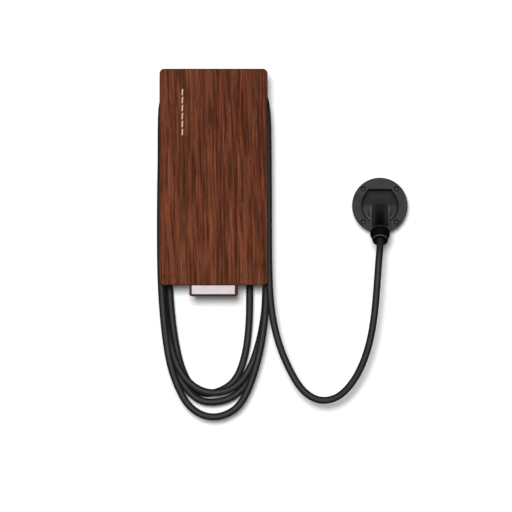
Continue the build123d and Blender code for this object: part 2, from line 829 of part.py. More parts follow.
def make_cable_tail():
    along = radians(handle_tilt)
    clamp_depth, clamp_rise = handle_point(handle_end + nut_length - 12.0)
    exit_depth, exit_rise = handle_point(handle_end + nut_length + 14.0)
    return cable_tube([
        (holder_x, clamp_depth, connector_z + clamp_rise),
        (holder_x, exit_depth, connector_z + exit_rise),
        (holder_x, exit_depth + 26 * cos(along + radians(21)), connector_z + exit_rise - 24.5),
        (291.2, 130.5, -190.0),
        (286.3, 129.0, -240.0),
        (277.5, 124.0, -292.0),
        (261.0, 116.5, -341.0),
        (236.5, 109.5, -378.5),
        (210.5, 103.5, -396.0),
        (182.5, 98.5, -396.3),
        (157.0, 94.0, -378.5),
        (138.5, 89.0, -347.0),
        (121.0, 84.0, -305.0),
        (108.6, 80.0, -262.0),
        (100.8, 77.5, -215.0),
        (98.0, 76.8, -165.0),
        (93.5, 76.5, -112.0),
    ])


def beside(side, outward, z):
    """A point of the wound turns, measured outward from the body's side."""
    return (side * (body_half_width + outward), z)


def make_cable_coil():
    """Outer shape of the turns wound over the body, which hang below it and fan out."""
    saddle = body_top + part_gap
    corner_x = body_half_width - body_top_corner
    corner_z = body_top - body_top_corner
    top = saddle + cable_diameter
    outer_corner_x = body_half_width + coil_corner_reach - coil_corner_radius
    shoulder_z = top - coil_corner_radius
    outer = [
        Line((outer_corner_x, top), (-outer_corner_x, top)),
        CenterArc((-outer_corner_x, shoulder_z), coil_corner_radius, 90, 90),
        Spline(beside(-1, coil_corner_reach, shoulder_z), beside(-1, coil_reach_left, 45.0),
               beside(-1, coil_reach_left, -125.0), beside(-1, 20.6, -195.0), beside(-1, 12.6, -282.0),
               beside(-1, -16.0, -383.0), (2.6, -430.9), beside(1, -13.0, -387.0), beside(1, 15.5, -282.0),
               beside(1, 22.6, -195.0), beside(1, coil_reach_right, -120.0),
               beside(1, coil_reach_right - 0.6, 30.0), beside(1, coil_corner_reach, shoulder_z),
               tangents=[(0, -1), (0, 1)]),
        CenterArc((outer_corner_x, shoulder_z), coil_corner_radius, 0, 90),
    ]
    inner_low = beside(1, part_gap, coil_straight_low)
    inner = [
        Line((corner_x, saddle), (-corner_x, saddle)),
        CenterArc((-corner_x, corner_z), saddle - corner_z, 90, 90),
        Line(beside(-1, part_gap, corner_z), beside(-1, part_gap, coil_straight_low)),
        Spline(beside(-1, part_gap, coil_straight_low), beside(-1, -6.0, -205.0), beside(-1, -11.5, -262.0),
               beside(-1, -28.0, -337.0), (2.6, -375.0), beside(1, -23.0, -333.0), beside(1, 0.7, -270.0),
               beside(1, 5.0, -200.0), inner_low, tangents=[(0, -1), (0, 1)]),
        Line(inner_low, beside(1, part_gap, corner_z)),
        CenterArc((corner_x, corner_z), saddle - corner_z, 0, 90),
    ]
    coil = slab(make_face(Wire(outer)) - make_face(Wire(inner)), coil_back, coil_front)
    rims = coil.edges().filter_by(lambda edge: abs(edge.bounding_box().size.Y) < 1e-3)
    return fillet(rims, coil_edge)


# Holder
def recess_outline(grow=0.0):
    return Pos(holder_x, holder_z) * flat_topped(recess_radius + grow, recess_flat + grow,
                                                recess_corner_x, recess_corner_radius + grow)


def holder_screw_places():
    reach = screw_circle / 2 * cos(radians(45))
    return [(holder_x + x_side * reach, holder_z + z_side * reach)
            for x_side in (-1, 1) for z_side in (-1, 1)]


def make_holder_body():
    face_back = holder_depth - holder_face
    shell = frustum(holder_x, holder_z, holder_back_radius, holder_radius, 0, holder_depth)
    shell = fillet(shell.faces().sort_by(Axis.Y)[0].edges(), holder_edge)
    hollow = frustum(holder_x, holder_z, holder_back_radius - holder_wall, holder_radius - holder_wall,
                     -0.01, face_back)
    cup = slab(recess_outline(holder_wall), 0, face_back)
    inner = Part() + cup
    for x, z in holder_screw_places():
        inner += post(x, z, screw_column_radius, 0, face_back)
    for rib in range(holder_ribs):
        turn = Rot(0, 360 / holder_ribs * (rib + 0.5), 0)
        web = Pos((recess_radius + holder_radius) / 2, -face_back / 2, 0) * Box(
            holder_radius - recess_radius, face_back, holder_rib_width)
        inner += Pos(holder_x, 0, holder_z) * turn * web
    holder = shell - (hollow - inner)
    recess = slab(recess_outline(), holder_floor, holder_depth + 1)
    holder -= recess
    for x, z in holder_screw_places():
        holder -= post(x, z, screw_thread_radius + part_gap, -1, holder_depth + 1)
        holder -= post(x, z, screw_head_bore_radius, holder_depth - screw_head_bore_depth, holder_depth + 1)
    return holder


def make_holder_screws():
    seat = holder_depth - screw_head_bore_depth
    screws = []
    for x, z in holder_screw_places():
        head = frustum(x, z, screw_head_radius, screw_head_radius * 0.72, seat, seat + screw_head_height)
        neck = post(x, z, screw_neck_radius, screw_thread_start, seat)
        thread = post(x, z, screw_thread_radius, -screw_stand_out, screw_thread_start)
        point = frustum(x, z, 0.4, screw_thread_radius, -screw_stand_out - 4, -screw_stand_out)
        cross = [slab(Pos(x, z) * Rectangle(4.4, 0.9), seat + 1.2, seat + 4),
                 slab(Pos(x, z) * Rectangle(0.9, 4.4), seat + 1.2, seat + 4)]
        screws.append(head + neck + thread + point - cross)
    return Compound(screws)


# Connector
def connector_plane(depth, rise, turn):
    """Section plane of the connector, turned from facing out of the wall towards the ground."""
    along = radians(turn)
    return Plane(origin=(holder_x, -depth, connector_z + rise), x_dir=(1, 0, 0),
                 z_dir=(0, -cos(along), -sin(along)))


def nose_outline(grow=0.0):
    return flat_topped(nose_radius + grow, nose_flat + grow, recess_corner_x, recess_corner_radius + grow)


def handle_sections(grow=0.0):
    """Sections from the flat-topped nose, round the elbow and down the handle."""
    start = handle_point(handle_start)
    end = handle_point(handle_end)
    return [
        connector_plane(nose_shoulder, 0, 0) * nose_outline(grow),
        connector_plane(nose_shoulder + 5, 0, 0) * nose_outline(grow - 0.5),
        connector_plane(60.0, -4.0, handle_tilt * 0.42)
        * flat_topped(25.5 + grow, 21.5 + grow, 13.5, 6.0 + grow),
        connector_plane(*start, handle_tilt)
        * flat_topped(handle_half_width + 1 + grow, handle_top + 0.8 + grow, 8.8, handle_corner_radius + grow),
        connector_plane(*end, handle_tilt)
        * flat_topped(handle_half_width + grow, handle_top + grow, 8.5, handle_corner_radius + grow),
    ]


def grip_prism(grow=0.0):
    """The strip along the top of the handle that the grip insert takes."""
    axis_start = handle_point(grip_start)
    middle = connector_plane(*axis_start, handle_tilt)
    length = handle_end - grip_start + 5
    place = Pos(0, handle_top * 2 + grip_depth - grow, length / 2 - grow)
    return middle * place * Box(2 * (grip_half_width + grow), handle_top * 4, length)


def make_connector_housing():
    outer = loft(handle_sections())
    core = loft(handle_sections(-grip_depth))
    channel = grip_prism(seat_gap) & (outer - core)
    bore_start = connector_plane(*handle_point(0), handle_tilt)
    bore = extrude(bore_start * Circle(handle_bore), amount=handle_end + 1)
    pocket = slab(Pos(holder_x, connector_z) * Circle(nose_radius * 0.62), nose_shoulder - 1, nose_shoulder + 8)
    return outer - channel - bore - pocket


def make_connector_grip():
    skin = loft(handle_sections(grip_proud)) - loft(handle_sections(-grip_depth + part_gap))
    strip = skin & grip_prism()
    end_plane = connector_plane(*handle_point(handle_end), handle_tilt)
    return strip - extrude(end_plane * Rectangle(80, 80), amount=20)


def make_contact_carrier():
    nose = slab(Pos(holder_x, connector_z) * nose_outline(), nose_tip, nose_shoulder)
    nose = chamfer(nose.faces().sort_by(Axis.Y)[-1].edges(), 1.0)
    for places, bore in ((contact_places, contact_bore), (pilot_places, pilot_bore)):
        for x, rise in places:
            nose -= post(holder_x + x, connector_z + rise, bore + contact_wall, nose_tip - 1,
                         nose_tip + contact_depth)
    return nose


def make_contacts():
    sleeves = []
    for places, bore in ((contact_places, contact_bore), (pilot_places, pilot_bore)):
        for x, rise in places:
            centre = (holder_x + x, connector_z + rise)
            tube = post(*centre, bore + contact_wall - seat_gap, nose_tip + 5, nose_tip + contact_depth)
            sleeves.append(tube - post(*centre, bore, nose_tip + 4, nose_tip + contact_depth - 4))
    return Compound(sleeves)


def make_connector_nut():
    start = connector_plane(*handle_point(handle_end), handle_tilt)
    collar = extrude(start * Circle(nut_radius), amount=nut_collar)
    taper = degrees(atan2(nut_radius - nut_end_radius, nut_length - nut_collar))
    tail = extrude(start * Pos(0, 0, nut_collar) * Circle(nut_radius - 0.8), amount=nut_length - nut_collar,
                   taper=taper * 0.85)
    nut = collar + tail
    for flute in range(nut_flutes):
        angle = radians(360 / nut_flutes * flute)
        place = Pos((nut_radius + 0.7) * cos(angle), (nut_radius + 0.7) * sin(angle), -1)
        nut -= extrude(start * place * Circle(nut_flute_radius), amount=nut_collar)
    hollow = extrude(start * Pos(0, 0, -1) * Circle(nut_end_radius - nut_wall + 2), amount=nut_length - nut_wall)
    mouth = extrude(start * Circle(cable_radius + part_gap), amount=nut_length + 1)
    return nut - hollow - mouth


def make_connector_clamp():
    start = connector_plane(*handle_point(handle_end + nut_length - nut_wall - 1 - clamp_length), handle_tilt)
    ring = extrude(start * Circle(nut_end_radius - nut_wall + 2 - seat_gap), amount=clamp_length)
    return ring - extrude(start * Circle(cable_radius), amount=clamp_length + 1)


gland_bore = cable_radius + part_gap
cable_gland = (cable_gland_x, cable_gland_depth, cable_gland_face, cable_gland_thread)
supply_gland = (supply_gland_x, supply_gland_depth, body_bottom, supply_gland_thread)

pieces = {
    "front_panel": make_front_panel(),
    "panel_frame": make_panel_frame(),
    "panel_screws": make_panel_screws(),
    "light_diffuser": make_light_diffuser(),
    "badge_tab": make_badge_tab(),
    "badge_plate": make_badge_plate(),
    "rear_housing": make_rear_housing(),
    "housing_gasket": make_housing_gasket(),
    "service_cover": make_service_cover(),
    "cover_screws": make_cover_screws(),
    "wall_bracket": make_wall_bracket(),
    "lock_screw": make_lock_screw(),
    "main_board": make_main_board(),
    "board_screws": make_board_screws(),
    "power_relays": make_power_relays(),
    "supply_terminals": make_terminals(supply_terminal_x),
    "output_terminals": make_terminals(output_terminal_x),
    "terminal_screws": make_terminal_screws(),
    "leakage_sensor": make_leakage_sensor(),
    "power_supply": make_power_supply(),
    "control_module": make_control_module(),
    "led_board": make_led_board(),
    "led_lamps": make_led_lamps(),
    "light_guide": make_light_guide(),
    "cable_gland_body": gland_body(*cable_gland, gland_bore, body_wall + cable_gland_boss_drop),
    "cable_gland_seal": gland_seal(*cable_gland, cable_radius),
    "cable_gland_nut": gland_nut(*cable_gland, gland_bore),
    "supply_gland_body": gland_body(*supply_gland, supply_cable_radius + 1, supply_thread_inside),
    "supply_gland_seal": gland_seal(*supply_gland, supply_cable_radius),
    "supply_gland_nut": gland_nut(*supply_gland, supply_cable_radius + 1),
    "supply_gland_locknut": make_supply_locknut(),
    "output_wires": make_output_wires(),
    "cable_lead": make_cable_lead(),
    "cable_coil": make_cable_coil(),
    "cable_tail": make_cable_tail(),
    "holder_body": make_holder_body(),
    "holder_screws": make_holder_screws(),
    "connector_housing": make_connector_housing(),
    "connector_grip": make_connector_grip(),
    "contact_carrier": make_contact_carrier(),
    "contacts": make_contacts(),
    "connector_nut": make_connector_nut(),
    "connector_clamp": make_connector_clamp(),
}

os.makedirs("parts", exist_ok=True)
for name, piece in pieces.items():
    export_step(piece, f"parts/{name}.step")
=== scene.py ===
from math import cos, pi, radians, sin

import bpy
import bmesh
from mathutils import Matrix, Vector


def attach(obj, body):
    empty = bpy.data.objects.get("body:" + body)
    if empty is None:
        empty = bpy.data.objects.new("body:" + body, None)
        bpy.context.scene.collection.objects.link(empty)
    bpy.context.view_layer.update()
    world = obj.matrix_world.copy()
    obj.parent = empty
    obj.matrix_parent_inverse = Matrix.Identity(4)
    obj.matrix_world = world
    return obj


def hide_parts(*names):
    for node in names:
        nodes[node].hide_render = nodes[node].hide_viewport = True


# Looks of the wall charger. Metres, the wall is the plane y = 0 and the front faces -Y. Points of routes
# and pieces are written as in the CAD source: x, depth off the wall, z, in millimetres.

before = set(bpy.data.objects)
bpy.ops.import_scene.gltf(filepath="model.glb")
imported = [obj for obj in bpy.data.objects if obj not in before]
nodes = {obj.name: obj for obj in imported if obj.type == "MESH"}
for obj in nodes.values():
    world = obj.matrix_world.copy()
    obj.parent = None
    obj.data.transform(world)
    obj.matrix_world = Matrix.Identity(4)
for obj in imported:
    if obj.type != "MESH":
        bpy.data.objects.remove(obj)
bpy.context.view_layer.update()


def spot(x, depth, z):
    return Vector((x, -depth, z)) / 1000


def add_object(name, data):
    item = bpy.data.objects.new(name, data)
    bpy.context.collection.objects.link(item)
    return item


def add_mesh(name, mesh):
    """Make an object of a finished bmesh and free it."""
    data = bpy.data.meshes.new(name)
    mesh.to_mesh(data)
    mesh.free()
    return add_object(name, data)


# Camera: square on, through a long lens
view_width = 0.9047
view_distance = 30.0
view_centre = (0.075, -0.1396)
front_depth = 0.112

camera_data = bpy.data.cameras.new("camera")
camera_data.sensor_width = 36.0
camera_data.lens = camera_data.sensor_width * view_distance / view_width
camera_data.clip_end = 100.0
camera = add_object("camera", camera_data)
camera.location = (view_centre[0], -front_depth - view_distance, view_centre[1])
camera.rotation_euler = (radians(90), 0, 0)
bpy.context.scene.camera = camera

# Charging cable, one spline from its gland to the connector
cable_diameter = 12.5

lead_route = [
    (63.8, 30.0, -160.0),
    (63.8, 29.2, -205.0),
    (63.2, 27.0, -258.0),
    (57.3, 25.5, -312.0),
    (41.4, 24.8, -358.5),
    (12.5, 24.6, -380.0),
    (-24.0, 24.6, -385.5),
    (-47.0, 24.3, -361.5),
    (-60.7, 24.0, -328.0),
    (-69.7, 24.0, -284.0),
    (-75.7, 24.0, -235.0),
    (-79.0, 24.0, -185.0),
    (-85.5, 24.0, -125.0),
    (-89.5, 24.0, -55.0),
]

# The turns over the body's top, each with the half widths of its left and right side
turn_pitch = 13.2
first_depth = 24.0
turn_sides = [(91.4, 92.8), (92.2, 93.0), (92.4, 93.2), (92.9, 96.4)]

# The loops between them, from the right side to the left: a depth, then x and z of each point
hanging_turns = [
    (37.2, [(93.0, -125.0), (92.3, -196.0), (90.0, -246.0), (83.6, -296.0), (72.6, -343.0),
            (51.5, -376.5), (22.0, -396.5), (-22.0, -399.5), (-50.0, -375.0), (-71.8, -335.0),
            (-83.8, -286.0), (-88.6, -235.0), (-90.3, -185.0), (-92.3, -120.0), (-92.8, -50.0)]),
    (50.4, [(93.2, -125.0), (93.6, -190.0), (90.0, -244.0), (81.0, -293.0), (64.0, -342.0),
            (38.5, -373.0), (8.0, -382.5), (-19.0, -380.0), (-42.5, -365.5), (-60.8, -343.0),
            (-74.0, -309.0), (-85.3, -258.0), (-90.6, -205.0), (-92.8, -145.0), (-93.0, -60.0)]),
    (63.6, [(93.4, -125.0), (93.6, -190.0), (91.8, -238.0), (86.0, -287.0), (76.4, -332.0),
            (61.3, -377.0), (43.5, -408.0), (14.0, -424.6), (-17.5, -423.8), (-44.8, -405.5),
            (-62.4, -374.5), (-77.0, -334.0), (-85.4, -283.0), (-90.4, -232.0), (-93.4, -180.0),
            (-94.3, -110.0), (-94.0, -30.0)]),
]

tail_route = [
    (97.0, 76.8, -112.0),
    (97.7, 76.8, -165.0),
    (99.8, 77.5, -215.0),
    (106.4, 80.0, -262.0),
    (118.4, 84.0, -305.0),
    (136.6, 89.0, -346.0),
    (156.0, 94.0, -377.2),
    (181.8, 98.5, -394.9),
    (210.0, 103.5, -394.6),
    (235.8, 109.5, -377.1),
    (260.2, 116.5, -340.3),
    (276.6, 124.0, -292.0),
    (284.9, 128.6, -240.0),
    (288.9, 129.9, -190.0),
    (291.9, 125.3, -147.4),
    (294.3, 116.0, -122.9),
    (294.3, 98.6, -103.6),
]


def over_the_top(depth, left, right):
    """Route from the left side of the body over its rounded top to the right side."""
    return [
        (-left, depth, 25.0),
        (-left, depth, 98.0),
        (-left + 2.0, depth + 0.2, 134.0),
        (-left + 16.5, depth + 1.4, 165.0),
        (-left + 47.0, depth + 3.8, 181.2),
        (-14.0, depth + 5.8, 180.8),
        (14.0, depth + 7.4, 180.8),
        (right - 52.0, depth + 9.4, 181.5),
        (right - 22.5, depth + 11.8, 170.5),
        (right - 6.0, depth + 13.0, 144.0),
        (right - 0.8, depth + turn_pitch, 110.0),
        (right, depth + turn_pitch, 62.0),
        (right + 0.4, depth + turn_pitch, -5.0),
        (right + 0.6, depth + turn_pitch, -70.0),
    ]


def cable_route():
    route = list(lead_route)
    for turn, (left, right) in enumerate(turn_sides):
        route += over_the_top(first_depth + turn * turn_pitch, left, right)
        if turn < len(hanging_turns):
            depth, points = hanging_turns[turn]
            route += [(x, depth, z) for x, z in points]
    return [spot(*point) for point in route + tail_route]


def build_cable():
    data = bpy.data.curves.new("charging_cable", "CURVE")
    data.dimensions = "3D"
    route = cable_route()
    spline = data.splines.new("NURBS")
    spline.points.add(len(route) - 1)
    for point, place in zip(spline.points, route):
        point.co = (*place, 1.0)
        point.radius = cable_diameter / 2000
    spline.order_u = 3
    spline.use_endpoint_u = True
    spline.resolution_u = 10
    data.bevel_depth = 1.0  # times the radius of the points, which is half the cable's diameter
    data.bevel_resolution = 6
    data.use_fill_caps = True
    return add_object("charging_cable", data)


cable = build_cable()
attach(cable, "wallbox")
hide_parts("cable_lead", "cable_coil", "cable_tail")


# Materials
class Finish:
    """A principled material whose colour, roughness and relief come from noise in object space."""

    def __init__(self, name, roughness=0.5, metallic=0.0, specular=0.5):
        self.material = bpy.data.materials.new(name)
        self.material.use_nodes = True
        self.tree = self.material.node_tree
        self.shader = self.tree.nodes["Principled BSDF"]
        self.shader.inputs["Roughness"].default_value = roughness
        self.shader.inputs["Metallic"].default_value = metallic
        self.shader.inputs["Specular IOR Level"].default_value = specular
        self.place = self.node("ShaderNodeTexCoord").outputs["Object"]

    def node(self, kind, **settings):
        made = self.tree.nodes.new(kind)
        for key, value in settings.items():
            setattr(made, key, value)
        return made

    def link(self, source, target):
        self.tree.links.new(source, target)

    def parts(self):
        """The place along each axis, under X, Y and Z."""
        split = self.node("ShaderNodeSeparateXYZ")
        self.link(self.place, split.inputs["Vector"])
        return split.outputs

    def noise(self, scale, detail=4.0, rough=0.55, source=None):
        """Noise with its own scale along each axis, or one scale for all."""
        mapping = self.node("ShaderNodeMapping")
        mapping.inputs["Scale"].default_value = scale if hasattr(scale, "__len__") else (scale,) * 3
        self.link(source or self.place, mapping.inputs["Vector"])
        made = self.node("ShaderNodeTexNoise")
        made.inputs["Scale"].default_value = 1.0
        made.inputs["Detail"].default_value = detail
        made.inputs["Roughness"].default_value = rough
        self.link(mapping.outputs["Vector"], made.inputs["Vector"])
        return made.outputs["Fac"]

    def ramp(self, factor, stops):
        made = self.node("ShaderNodeValToRGB")
        ramp = made.color_ramp
        while len(ramp.elements) < len(stops):
            ramp.elements.new(0.5)
        for element, (position, colour) in zip(ramp.elements, stops):
            element.position = position
            element.color = (*colour, 1.0)
        self.link(factor, made.inputs["Fac"])
        return made.outputs["Color"]

    def grey(self, factor, low, high, dark=0.0, bright=1.0):
        """Spread a factor between two levels, as a grey."""
        made = self.node("ShaderNodeMapRange")
        for key, value in (("From Min", low), ("From Max", high), ("To Min", dark), ("To Max", bright)):
            made.inputs[key].default_value = value
        self.link(factor, made.inputs["Value"])
        return made.outputs["Result"]

    def math(self, operation, first, second=None):
        made = self.node("ShaderNodeMath", operation=operation)
        for socket, value in zip(made.inputs, (first, second)):
            if value is None:
                continue
            if isinstance(value, (int, float)):
                socket.default_value = value
            else:
                self.link(value, socket)
        return made.outputs["Value"]

    def aside(self, coordinate, middle):
        """Distance of a coordinate from a middle value."""
        return self.math("ABSOLUTE", self.math("SUBTRACT", coordinate, middle))

    def mix(self, factor, first, second, blend="MIX"):
        made = self.node("ShaderNodeMix", data_type="RGBA", blend_type=blend)
        for key, value in (("Factor", factor), ("A", first), ("B", second)):
            socket = next(item for item in made.inputs if item.name == key and item.enabled)
            if isinstance(value, (int, float)):
                socket.default_value = value
            elif isinstance(value, tuple):
                socket.default_value = (*value, 1.0)
            else:
                self.link(value, socket)
        return next(item for item in made.outputs if item.enabled)

    def bump(self, height, distance, strength=0.6):
        made = self.node("ShaderNodeBump")
        made.inputs["Distance"].default_value = distance
        made.inputs["Strength"].default_value = strength
        self.link(height, made.inputs["Height"])
        return made.outputs["Normal"]

    def smudged(self, low, high):
        """Roughness between two values, from the marks of hands."""
        return self.grey(self.noise(75.0, detail=5.0), 0.3, 0.7, low, high)

    def grained(self, scale=1400.0, depth=0.00004):
        """Fine grain of a moulded face."""
        return self.bump(self.noise(scale, detail=2.0), depth)

    def set(self, colour=None, roughness=None, normal=None):
        for key, value in (("Base Color", colour), ("Roughness", roughness), ("Normal", normal)):
            if value is not None:
                self.link(value, self.shader.inputs[key])
        return self.material


def tint(red, green, blue):
    """Linear colour of a screen colour given in 0 to 255."""
    return tuple(((value / 255 + 0.055) / 1.055) ** 2.4 if value > 10 else value / 255 / 12.92
                 for value in (red, green, blue))


def scaled(colour, factor):
    return tuple(min(1.0, channel * factor) for channel in colour)


def moulded(name, colour, roughness=0.6, grain=1400.0, depth=0.00004, specular=0.5, spread=0.18):
    """Moulded plastic: spark-eroded grain, faint flow marks and handling smudges."""
    finish = Finish(name, specular=specular)
    tones = [(0.3, scaled(colour, 1 - spread)), (0.7, scaled(colour, 1 + spread))]
    flow = finish.ramp(finish.noise(22.0, detail=3.0), tones)
    return finish.set(flow, finish.smudged(roughness - 0.07, roughness + 0.07),
                      finish.grained(grain, depth))


def metal(name, colour, roughness=0.35, brushed=(40.0, 40.0, 900.0), metallic=1.0):
    """Metal with fine drawn lines, spots of handling and a slight change of tone."""
    finish = Finish(name, metallic=metallic)
    lines = finish.noise(brushed, detail=3.0)
    cloud = finish.ramp(finish.noise(60.0), [(0.25, scaled(colour, 0.85)), (0.75, scaled(colour, 1.08))])
    rough_out = finish.grey(lines, 0.3, 0.7, roughness - 0.08, roughness + 0.1)
    return finish.set(cloud, rough_out, finish.bump(lines, 0.00003, 0.5))


# Where painted shade darkens the wood: at its upper and lower end and towards its right edge
wood_end_shade = (0.1883, 0.1911)
wood_right_shade = (0.086, 0.095)


def swayed(finish, sway_width, lean):
    """The place with a slow sway and a lean of its X, as grain runs up a board."""
    sway = finish.grey(finish.noise((9.0, 9.0, 3.5), detail=2.0), 0.0, 1.0, -sway_width, sway_width)
    offset = finish.node("ShaderNodeCombineXYZ")
    finish.link(finish.math("ADD", sway, finish.math("MULTIPLY", finish.parts()["Z"], lean)),
                offset.inputs["X"])
    moved = finish.node("ShaderNodeVectorMath", operation="ADD")
    finish.link(finish.place, moved.inputs[0])
    finish.link(offset.outputs["Vector"], moved.inputs[1])
    return moved.outputs["Vector"]


def walnut(name, light, dark, deep):
    """Oiled walnut with upright grain: broad bands, fibres and short dark pores, with painted shade at its
    ends and right edge.
    """
    finish = Finish(name, specular=0.1)
    place = swayed(finish, 0.008, 0.02)
    bands = finish.noise((60.0, 60.0, 3.2), detail=3.0, source=place)
    streaks = finish.noise((290.0, 290.0, 12.0), detail=4.0, rough=0.6, source=place)
    fibres = finish.noise((700.0, 700.0, 24.0), detail=2.0, source=place)
    pores = finish.noise((520.0, 520.0, 60.0), detail=1.0, source=place)
    redness = finish.noise((34.0, 34.0, 9.0), detail=2.0, source=place)
    tone = finish.ramp(bands, [(0.36, dark), (0.64, light)])
    tone = finish.mix(finish.grey(redness, 0.48, 0.64, 0.0, 0.55), tone, tint(116, 54, 36))
    tone = finish.mix(finish.grey(streaks, 0.49, 0.62, 0.0, 0.95), tone, deep)
    tone = finish.mix(finish.grey(streaks, 0.46, 0.33, 0.0, 0.85), tone, tint(128, 74, 45))
    tone = finish.mix(finish.grey(fibres, 0.35, 0.65, 0.0, 0.4), tone, deep)
    tone = finish.mix(finish.grey(pores, 0.62, 0.7, 0.0, 0.55), tone, tint(50, 20, 8))
    parts = finish.parts()
    # Painted shade: darker past the top and bottom edges of the panel and towards its right edge
    end = finish.grey(finish.math("ABSOLUTE", parts["Z"]), *wood_end_shade, 0.0, 0.85)
    right = finish.grey(parts["X"], *wood_right_shade, 0.0, 0.45)
    tone = finish.mix(finish.math("MAXIMUM", end, right), tone, tint(58, 34, 26))
    relief = finish.math("ADD", finish.grey(fibres, 0.2, 0.8), finish.grey(pores, 0.72, 0.64))
    rough_out = finish.grey(streaks, 0.3, 0.7, 0.68, 0.8)
    return finish.set(tone, rough_out, finish.bump(relief, 0.00006, 0.7))


# Places on the connector and its holder, which share one middle
connector_x = 0.2943
holder_z = -0.0502
holder_screw_reach = 0.0292
# Where painted light, painted highlights and painted shade go on the housing and the grip
handle_painted_light_start = (-0.047, -0.056)
cheek_highlight_inside = (0.0140, 0.0152)
cheek_highlight_outside = (0.0188, 0.0176)
grip_shade_ends = (-0.082, -0.036)
grip_edge_highlight = (0.005, 0.0145)
nut_tilt = radians(48)
nut_start = 0.1332
nut_end = 0.1550


def connector_housing_skin():
    """Moulded housing with painted light: paler from where the handle leaves the nose downwards, with a
    painted highlight line down each side of the handle.
    """
    finish = Finish("connector_shell", specular=0.35)
    parts = finish.parts()
    # Painted light: the housing turns paler below the nose
    low = finish.grey(parts["Z"], *handle_painted_light_start)
    tone = finish.ramp(low, [(0.0, tint(50, 48, 50)), (1.0, tint(77, 74, 78))])
    # Painted highlight: a pale line down each side of the handle
    aside = finish.aside(parts["X"], connector_x)
    cheek_highlight = finish.math("MINIMUM", finish.grey(aside, *cheek_highlight_inside), finish.grey(aside, *cheek_highlight_outside))
    tone = finish.mix(finish.math("MULTIPLY", cheek_highlight, low), tone, tint(116, 111, 117))
    cloud = finish.ramp(finish.noise(60.0, detail=3.0), [(0.3, (0.86,) * 3), (0.7, (1.0,) * 3)])
    return finish.set(finish.mix(1.0, tone, cloud, blend="MULTIPLY"), finish.smudged(0.6, 0.74),
                      finish.grained())


def grip_skin():
    """Soft grip strip with painted shade, grey at the nose to near black towards the nut, and a painted
    highlight along its side edges.
    """
    finish = Finish("soft_grip", specular=0.05)
    parts = finish.parts()
    # Painted shade: the grip darkens towards the nut
    tone = finish.ramp(finish.grey(parts["Z"], *grip_shade_ends), [
        (0.04, tint(5, 5, 5)), (0.33, tint(12, 11, 12)), (0.56, tint(23, 22, 24)),
        (0.71, tint(27, 26, 28)), (0.77, tint(40, 38, 40)), (1.0, tint(46, 44, 46))])
    # Painted highlight: paler towards the grip's side edges
    edge_highlight = finish.grey(finish.aside(parts["X"], connector_x), *grip_edge_highlight, 0.0, 0.85)
    return finish.set(finish.mix(edge_highlight, tone, tint(47, 43, 47)), finish.smudged(0.78, 0.9),
                      finish.grained(700.0, 0.00008))


def nut_skin():
    """Black nut with a painted highlight on the rim at each end, measured along its tilted axis."""
    finish = Finish("connector_nut_finish", specular=0.06)
    travel = finish.node("ShaderNodeVectorMath", operation="DOT_PRODUCT")
    finish.link(finish.place, travel.inputs[0])
    travel.inputs[1].default_value = (0.0, -cos(nut_tilt), -sin(nut_tilt))
    place = travel.outputs["Value"]
    # Painted highlights: a pale band at the collar end and a paler one at the mouth
    collar_highlight = finish.grey(place, nut_start + 0.0012, nut_start + 0.0016, 1.0, 0.0)
    mouth_highlight = finish.math("MINIMUM", finish.grey(place, nut_end - 0.0021, nut_end - 0.0017),
                        finish.grey(place, nut_end - 0.0003, nut_end - 0.0005))
    cloud = finish.ramp(finish.noise(60.0, detail=3.0), [(0.3, tint(6, 6, 7)), (0.7, tint(10, 10, 11))])
    highlighted = finish.mix(mouth_highlight, finish.mix(collar_highlight, cloud, tint(54, 54, 56)), tint(84, 84, 86))
    return finish.set(highlighted, finish.smudged(0.62, 0.76), finish.grained())


def holder_screw_skin():
    """Blackened screws with a painted glint in the middle of the head."""
    finish = Finish("blackened_screw", metallic=1.0)
    parts = finish.parts()
    squares = []
    for axis, middle in (("X", connector_x), ("Z", holder_z)):
        off = finish.math("SUBTRACT", finish.aside(parts[axis], middle), holder_screw_reach)
        squares.append(finish.math("MULTIPLY", off, off))
    radius = finish.math("SQRT", finish.math("ADD", *squares))
    lines = finish.noise((500.0, 60.0, 500.0), detail=3.0)
    cloud = finish.ramp(finish.noise(60.0), [(0.25, tint(11, 11, 12)), (0.75, tint(14, 14, 15))])
    # Painted glint: a pale disc in the middle of each screw head
    tone = finish.mix(finish.grey(radius, 0.0009, 0.0014, 1.0, 0.0), cloud, tint(40, 40, 42))
    rough_out = finish.grey(lines, 0.3, 0.7, 0.3, 0.46)
    return finish.set(tone, rough_out, finish.bump(lines, 0.00003, 0.5))


def cable_sheath():
    """Extruded sheath: satin, with fine marks and a dusting of handling."""
    finish = Finish("cable_sheath", specular=0.55)
    dust = finish.noise(140.0, detail=6.0, rough=0.7)
    base = finish.ramp(finish.noise(30.0, detail=3.0), [(0.3, tint(9, 9, 9)), (0.7, tint(12, 12, 12))])
    dusted = finish.mix(finish.grey(dust, 0.62, 0.8, 0.0, 0.35), base, tint(34, 33, 33))
    rough_out = finish.grey(dust, 0.3, 0.75, 0.62, 0.7)
    marks = finish.noise(900.0, detail=2.0)
    return finish.set(dusted, rough_out, finish.bump(marks, 0.00003, 0.5))


def milky_light():
    """Opal light bars, unlit: warm white with cloudy tone."""
    finish = Finish("opal_light", roughness=0.45, specular=0.2)
    cloud = finish.noise(120.0, detail=3.0)
    warm = finish.ramp(cloud, [(0.3, tint(196, 160, 136)), (0.7, tint(208, 174, 152))])
    return finish.set(warm, None, finish.bump(cloud, 0.00002, 0.4))


